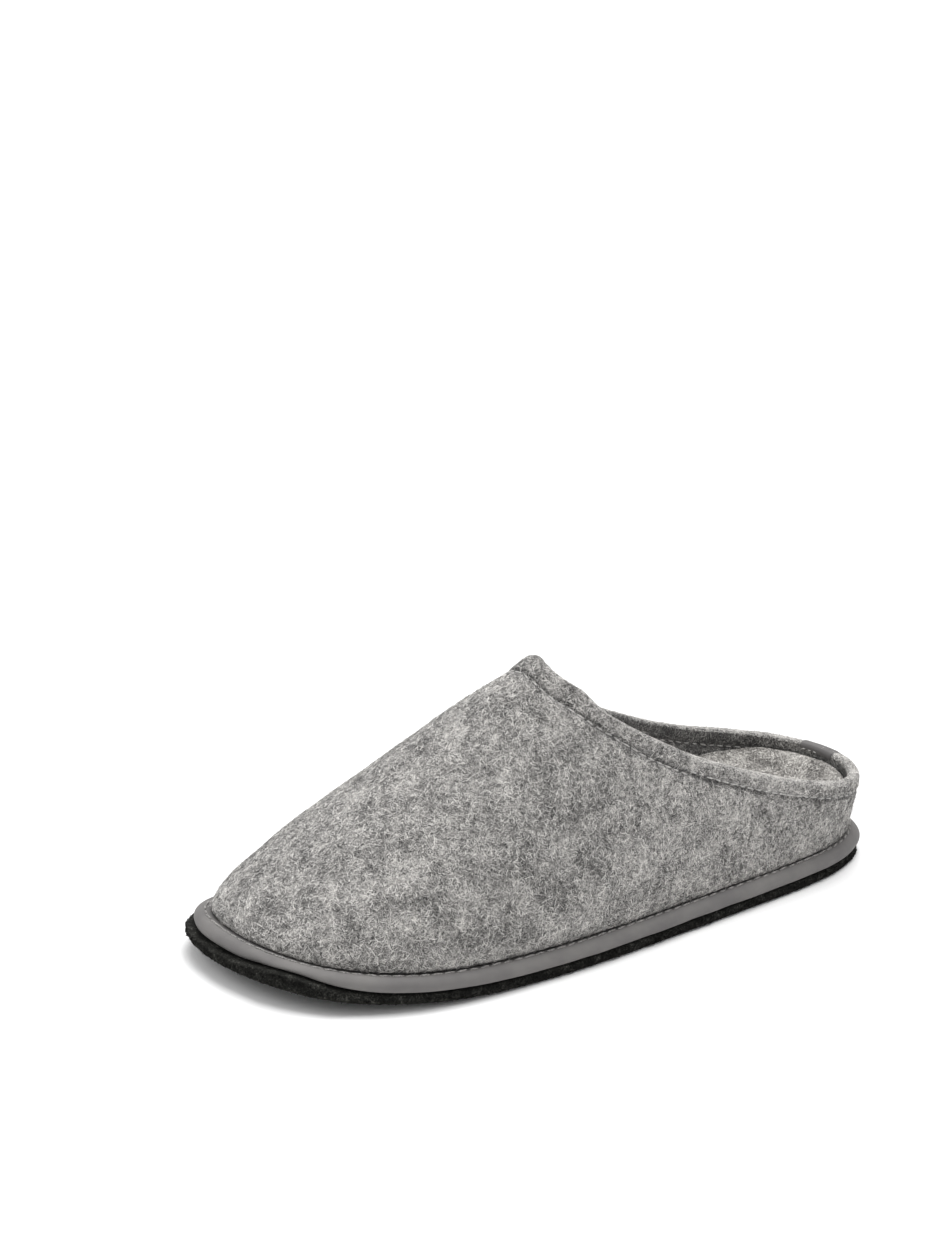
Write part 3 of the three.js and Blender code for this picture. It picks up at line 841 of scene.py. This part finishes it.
def stitch_frames(line, pitch, tree, sink, slant=0, seed=1, closed=True, loose=4):
    """Frames of stitches along a line on a surface; sink is their depth in millimetres."""
    chance = np.random.default_rng(seed)
    frames = []
    for place, way in zip(*even_steps(line, pitch, closed)):
        spot, normal, _, _ = tree.find_nearest(Vector(place))
        way = Vector(way)
        way = (way - normal * way.dot(normal)).normalized()
        swing = math.radians(slant + chance.normal() * loose)
        way = Matrix.Rotation(swing, 3, normal) @ way
        turned = Matrix((way, normal.cross(way), normal)).transposed()
        size = Vector((1 + LENGTH_SPREAD * chance.normal(), 1, 1))
        centre = spot - normal * (sink + SINK_SPREAD * chance.normal()) * MM
        frames.append(Matrix.LocRotScale(centre, turned, size))
    return frames


# %% [markdown]
# # The hem's stitches
# The collar is turned in and stitched down 7 mm below its edge, with grey thread at 4 mm to the
# stitch. The tension pulls the line into a groove. The same seam shows on the inside of the
# wall.

# %% Hem stitches
HEM_PITCH = 4.1
hem_stitch = stitch_shape(3.1, 0.6)
outer_hem = stitch_frames(wall_points[OUTER_HEM_ROW], HEM_PITCH, felt_tree, -0.2, seed=51)
inner_hem = stitch_frames(wall_points[INNER_HEM_ROW], HEM_PITCH, felt_tree, 0.12, seed=52)
hem_stitches = add_piece(
    lay_copies("hem_stitches", hem_stitch, outer_hem + inner_hem), hem_thread)
print("hem stitches", len(outer_hem), "outside,", len(inner_hem), "inside")

# %% [markdown]
# # The seam of felt and cover
# Where the felt meets the wrapped edge, the closing seam's thick thread lies in the corner. Its
# stitches are nearly as long as their pitch and each is slanted a little, so they look like a
# thin rope with a dark gap on either side.

# %% Seam stitches
ROPE_OUT = 1.1
ROPE_PITCH = 4.7
seam_onwards = np.roll(seam, -1, axis=0) - np.roll(seam, 1, axis=0)
seam_out = np.cross(seam_onwards, (0, 0, 1))
seam_out /= np.linalg.norm(seam_out, axis=1)[:, None]
if seam_out[TURNS // 4, 0] < 0:
    seam_out = -seam_out
rope_line = seam + seam_out * ROPE_OUT * MM
band_tree = tree_of(band_skin)
rope = stitch_frames(rope_line, ROPE_PITCH, band_tree, -0.12, slant=7, seed=53, loose=3)
seam_stitches = add_piece(
    lay_copies("seam_stitches", stitch_shape(4.3, 0.85), rope), seam_thread)
print("seam stitches", len(rope))

# %% [markdown]
# # The strip's stitches
# A few white stitches hold the folded strip, close to its lower edge on the inside of the heel.
# Their line is the strip's own inside edge: the points of its skin that lie lowest on the side
# towards the toe.

# %% Strip stitches
STRIP_STITCH_PITCH = 2.7
STITCHED_SHARE = (0.1, 0.55)
ABOVE_STRIP_EDGE = 2.6
TOWARDS_TOE = 3
strip_low, strip_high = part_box("heel_strip")
strip_tree = tree_of(strip_skin)
inner_row = wall_points[INNER_HEM_ROW + 1]
inner_heel = inner_row[inner_row[:, 1] > 0]
strip_line = []
for share in np.linspace(*STITCHED_SHARE, 12):
    x = strip_low.x + share * (strip_high.x - strip_low.x)
    beside = inner_heel[np.argmin(np.abs(inner_heel[:, 0] - x))]
    near = Vector((x, beside[1] - TOWARDS_TOE * MM, strip_low.z + ABOVE_STRIP_EDGE * MM))
    spot, _, _, _ = strip_tree.find_nearest(near)
    strip_line.append(spot[:])
strip_frames = stitch_frames(np.array(strip_line), STRIP_STITCH_PITCH, strip_tree, -0.05,
                             seed=54, closed=False, loose=3)
strip_stitches = add_piece(
    lay_copies("strip_stitches", stitch_shape(1.7, 0.42), strip_frames), white_thread)
print("strip stitches", len(strip_frames))

# %% [markdown]
# # Loose hairs
# What makes felt look like wool is its hairs: crimped, a tenth or two of a millimetre thick, a
# few millimetres long, lying in swirls, some lighter and some darker than the mat. Each one is
# a narrow ribbon of two or three faces, turned about its own length by chance. All the
# steps are done on arrays of all hairs at once: pick places on the skin in proportion to area,
# lead each hair off along a smooth direction field with some chance added, bend it, and lay its
# points onto the skin with a nearest-point search. Lying hairs come out of the mat and go back
# into it; a few free ones stand off with one end and give the slipper its fuzzy outline.

# %% Places on a skin
def unit(vectors):
    """Vectors scaled to length 1."""
    return vectors / np.maximum(np.linalg.norm(vectors, axis=-1), 1e-12)[..., None]


def corners_of(skin):
    """The numbers of the three points of each of a skin's triangles."""
    skin.calc_loop_triangles()
    corners = np.empty(len(skin.loop_triangles) * 3, dtype=np.int32)
    skin.loop_triangles.foreach_get("vertices", corners)
    return corners.reshape(-1, 3)


def triangles_of(skin):
    """The three corners of each of a skin's triangles, their middles and their normals."""
    a, b, c = (points_of(skin)[numbers] for numbers in corners_of(skin).T)
    return a, b, c, (a + b + c) / 3, unit(np.cross(b - a, c - a))


def places_on(skin, count, wanted, chance):
    """Random places on a skin, evenly by area, on the triangles that are wanted."""
    a, b, c, _, normals = triangles_of(skin)
    weight = np.linalg.norm(np.cross(b - a, c - a), axis=1) * wanted
    chosen = chance.choice(len(weight), size=count, p=weight / weight.sum())
    u, v = chance.random(count), chance.random(count)
    folded = u + v > 1
    u[folded], v[folded] = 1 - u[folded], 1 - v[folded]
    spots = a[chosen] + (b - a)[chosen] * u[:, None] + (c - a)[chosen] * v[:, None]
    return spots, normals[chosen]


swirls = [wave_field(61 + k, 10, 28) for k in range(3)]


def headings_at(spots, normals, spread, chance):
    """The way each hair starts off: along the swirls, turned by chance."""
    flow = np.stack([swirl(spots) for swirl in swirls], axis=1)
    flow = unit(flow - normals * (flow * normals).sum(axis=1)[:, None])
    angle = chance.normal(size=len(spots)) * math.radians(spread)
    return flow * np.cos(angle)[:, None] + np.cross(normals, flow) * np.sin(angle)[:, None]


# %% [markdown]
# # Growing a coat of hairs
# A hair's points come from adding up short steps whose heading turns steadily, which makes an
# arc. After they are laid on the skin each point is lifted by its own height: an arch for a
# lying hair, a rising end for a free one.

# %% Growing hairs
BEND = 1.1
TONE_OF_BLEND = 0.4
TONE_SPREAD = 0.36


def grow_hairs(name, skin, count, wanted, seed, material, slot, length, width, lift,
               segments=2, free=False, spread=75, light=0.54):
    """Adds hairs to a skin as one piece. length, width and lift are ranges in millimetres."""
    chance = np.random.default_rng(seed)
    spots, normals = places_on(skin, count, wanted, chance)
    ahead = headings_at(spots, normals, spread, chance)
    aside = np.cross(normals, ahead)
    lengths = chance.uniform(*length, count) * MM
    bend = chance.normal(size=count) * BEND
    steps = np.zeros((count, segments + 1, 3))
    for k in range(segments):
        angle = bend * ((k + 0.5) / segments - 0.5)
        way = ahead * np.cos(angle)[:, None] + aside * np.sin(angle)[:, None]
        steps[:, k + 1] = steps[:, k] + way * (lengths / segments)[:, None]
    line = spots[:, None] + steps - steps.mean(axis=1)[:, None]
    tree = tree_of(skin)
    heights = chance.uniform(*lift, count) * MM
    up = np.empty_like(line)
    for i in range(count):
        for k in range(segments + 1):
            spot, normal, _, _ = tree.find_nearest(line[i, k])
            line[i, k] = spot
            up[i, k] = normal
    share = np.linspace(0, 1, segments + 1)
    rise = share ** 1.6 if free else np.sin(math.pi * share) - 0.25
    line += up * (heights[:, None] * rise)[..., None]
    onward = unit(np.gradient(line, axis=1))
    twist = chance.uniform(-1, 1, count) * math.radians(80 if free else 50)
    flat = unit(np.cross(up, onward))
    edge = flat * np.cos(twist)[:, None, None] + np.cross(onward, flat) * np.sin(twist)[:, None, None]
    widths = chance.uniform(*width, count)[:, None] * MM * (0.3 + 0.7 * np.sin(
        math.pi * (0.12 + 0.76 * share)))
    edge *= widths[..., None] / 2
    ribbon = np.stack([line - edge, line + edge], axis=2).reshape(-1, 3)
    tone = light + TONE_OF_BLEND * (melange_at(spots) - 0.5) + TONE_SPREAD * chance.normal(size=count)
    corner = np.arange(count)[:, None] * 2 * (segments + 1) + np.arange(segments) * 2
    faces = np.stack([corner, corner + 1, corner + 3, corner + 2], axis=2).reshape(-1, 4)
    data = bpy.data.meshes.new(name)
    data.from_pydata(ribbon.tolist(), [], faces.tolist())
    store(data, "tone", np.repeat(np.clip(tone, 0, 1), 2 * (segments + 1)))
    return add_piece(data, material)


# %% [markdown]
# # Where the hairs grow
# The outside of the upper is split into the vamp with the toe, the outer side and the inner
# side, so that no piece is too heavy. Inside, the hairs stop where nobody can see. The collar's
# rounded edge gets shorter hairs, because long ones would stand off it like a brush.

# %% Regions of the wall
VAMP_ENDS = -8 * MM
INSIDE_SEEN_TO = -40 * MM
EDGE_WIDTH = 2.5 * MM
CLEAR_OF_HEM = 1.5 * MM
CLEAR_OF_SEAM = 1 * MM
*_, middles, faces_out = triangles_of(felt_skin)
outside = values_of(felt_skin, "outside")[corners_of(felt_skin)].mean(axis=1) > 0.5
on_edge = distances(middles, crest_line) < EDGE_WIDTH
under_strip = (middles[:, 1] > 0) & (middles[:, 0] > strip_low.x) & (middles[:, 0] < strip_high.x)
clear = distances(middles, np.concatenate(hem_lines)) > CLEAR_OF_HEM
wall_face = outside & ~on_edge & clear & (distances(middles, seam) > CLEAR_OF_SEAM)
in_front = middles[:, 1] < VAMP_ENDS
outer_half = middles[:, 0] > 0
print("wall triangles outside", int(outside.sum()), "on the edge", int(on_edge.sum()))

# %% Hairs of the upper
LYING = {"length": (1.5, 4.4), "width": (0.09, 0.21), "lift": (0.05, 0.3)}
# The inside hairs' dark tone of 0.27 is painted shade inside the slipper.
REGIONS = {
    "vamp_hairs": (46000, wall_face & in_front, 0.55),
    "outer_side_hairs": (46000, wall_face & ~in_front & outer_half, 0.57),
    "inner_side_hairs": (38000, wall_face & ~in_front & ~outer_half, 0.54),
    "inside_hairs": (18000, ~outside & ~on_edge & clear & (middles[:, 1] > INSIDE_SEEN_TO), 0.27),
}
for k, (name, (count, wanted, light)) in enumerate(REGIONS.items()):
    grow_hairs(name, felt_skin, count, wanted, 71 + k, grey_wool, "grey_felt", **LYING, light=light)
EDGE_COAT = {"length": (0.9, 2.2), "width": (0.08, 0.16), "lift": (0.08, 0.35)}
# The edge hairs' light tone of 0.84 is a painted highlight along the collar's rounded top.
grow_hairs("collar_edge_hairs", felt_skin, 12000, on_edge & ~under_strip, 75, grey_wool,
           "grey_felt", **EDGE_COAT, light=0.84)

# %% [markdown]
# # Free hairs, the footbed's coat and the torn rubber
# Free hairs stand off everywhere on the outside by up to 1.4 mm, and show against the light
# background. The footbed's hairs lie flatter, as they are trodden down. On the outsole's cut
# wall, crumbs and threads of torn rubber do what hairs do on felt, in black.

# %% Free hairs and the other coats
FREE = {"length": (1.6, 4.5), "width": (0.05, 0.1), "lift": (0.3, 1.4)}
TRODDEN = {"length": (1.3, 3.6), "width": (0.11, 0.25), "lift": (0.04, 0.2)}
CRUMBS = {"length": (0.4, 1.3), "width": (0.15, 0.4), "lift": (0.1, 0.5)}
FOOTBED_SEEN_TO = -50 * MM
CLEAR_OF_FLOOR = 0.8 * MM
not_below = outside & (faces_out[:, 2] > -0.6)
grow_hairs("free_hairs", felt_skin, 15000, not_below, 76, grey_wool, "grey_felt",
           **FREE, segments=3, free=True, spread=90, light=0.7)
*_, middles, faces_out = triangles_of(bed_skin)
trodden = (faces_out[:, 2] > 0.2) & (middles[:, 1] > FOOTBED_SEEN_TO)
grow_hairs("footbed_hairs", bed_skin, 26000, trodden, 77, warm_wool, "warm_felt", **TRODDEN)
*_, middles, faces_out = triangles_of(sheet_skin)
torn_wall = (np.abs(faces_out[:, 2]) < 0.6) & (middles[:, 2] > CLEAR_OF_FLOOR)
grow_hairs("torn_rubber", sheet_skin, 7000, torn_wall, 78, rubber, "outsole_rubber",
           **CRUMBS, free=True, spread=90)

# %% [markdown]
# # Floor and light
# The photograph was taken on white, with big soft lights: one large one above and a little
# behind, which lights the top of the felt and lets a soft shadow fall towards the camera, a
# broad one at the left, and a weak one beside the camera. The floor is plain and pale.

# %% Floor
floor_mesh = bmesh.new()
bmesh.ops.create_grid(floor_mesh, x_segments=1, y_segments=1, size=9)
floor_data = bpy.data.meshes.new("floor")
floor_mesh.to_mesh(floor_data)
floor_mesh.free()
floor = bpy.data.objects.new("floor", floor_data)
bpy.context.scene.collection.objects.link(floor)
paper, paper_tree, paper_output = new_material("white_studio_paper")
fibres = add_node(paper_tree, "ShaderNodeTexNoise", sockets={"Scale": 3, "Detail": 2}, links={
    "Vector": add_node(paper_tree, "ShaderNodeTexCoord").outputs["Object"]})
white = add_node(paper_tree, "ShaderNodeValToRGB", links={"Fac": fibres.outputs["Fac"]})
set_ramp(white, [(0.3, "#f6f6f6"), (0.7, "#f8f8f8")])
matt = add_node(paper_tree, "ShaderNodeBsdfPrincipled", sockets={
    "Roughness": 0.95, "Specular IOR Level": 0.1}, links={"Base Color": white.outputs["Color"]})
paper_tree.links.new(matt.outputs["BSDF"], paper_output.inputs["Surface"])
floor_data.materials.append(paper)

# %% Lights
def soft_box(name, azimuth, elevation, distance, size, power):
    """A square soft light that looks at the slipper from a direction in degrees."""
    lamp = bpy.data.lights.new(name, "AREA")
    lamp.size = size
    lamp.energy = power
    box = bpy.data.objects.new(name, lamp)
    bpy.context.scene.collection.objects.link(box)
    towards = direction(azimuth, elevation)
    box.location = towards * distance
    box.rotation_euler = towards.to_track_quat("Z", "Y").to_euler()


soft_box("top_light", 205, 76, 4, 3.5, 195)
soft_box("left_light", -35, 40, 1.8, 1.2, 7)
soft_box("camera_light", 40, 35, 2.2, 1.4, 4)
world = bpy.data.worlds.new("studio")
bpy.context.scene.world = world
world.use_nodes = True
background = world.node_tree.nodes["Background"]
background.inputs["Color"].default_value = (1, 1, 1, 1)
background.inputs["Strength"].default_value = 0.52
# The photograph's white ground is pure white, which the default view transform turns grey.
bpy.context.scene.view_settings.view_transform = "Standard"
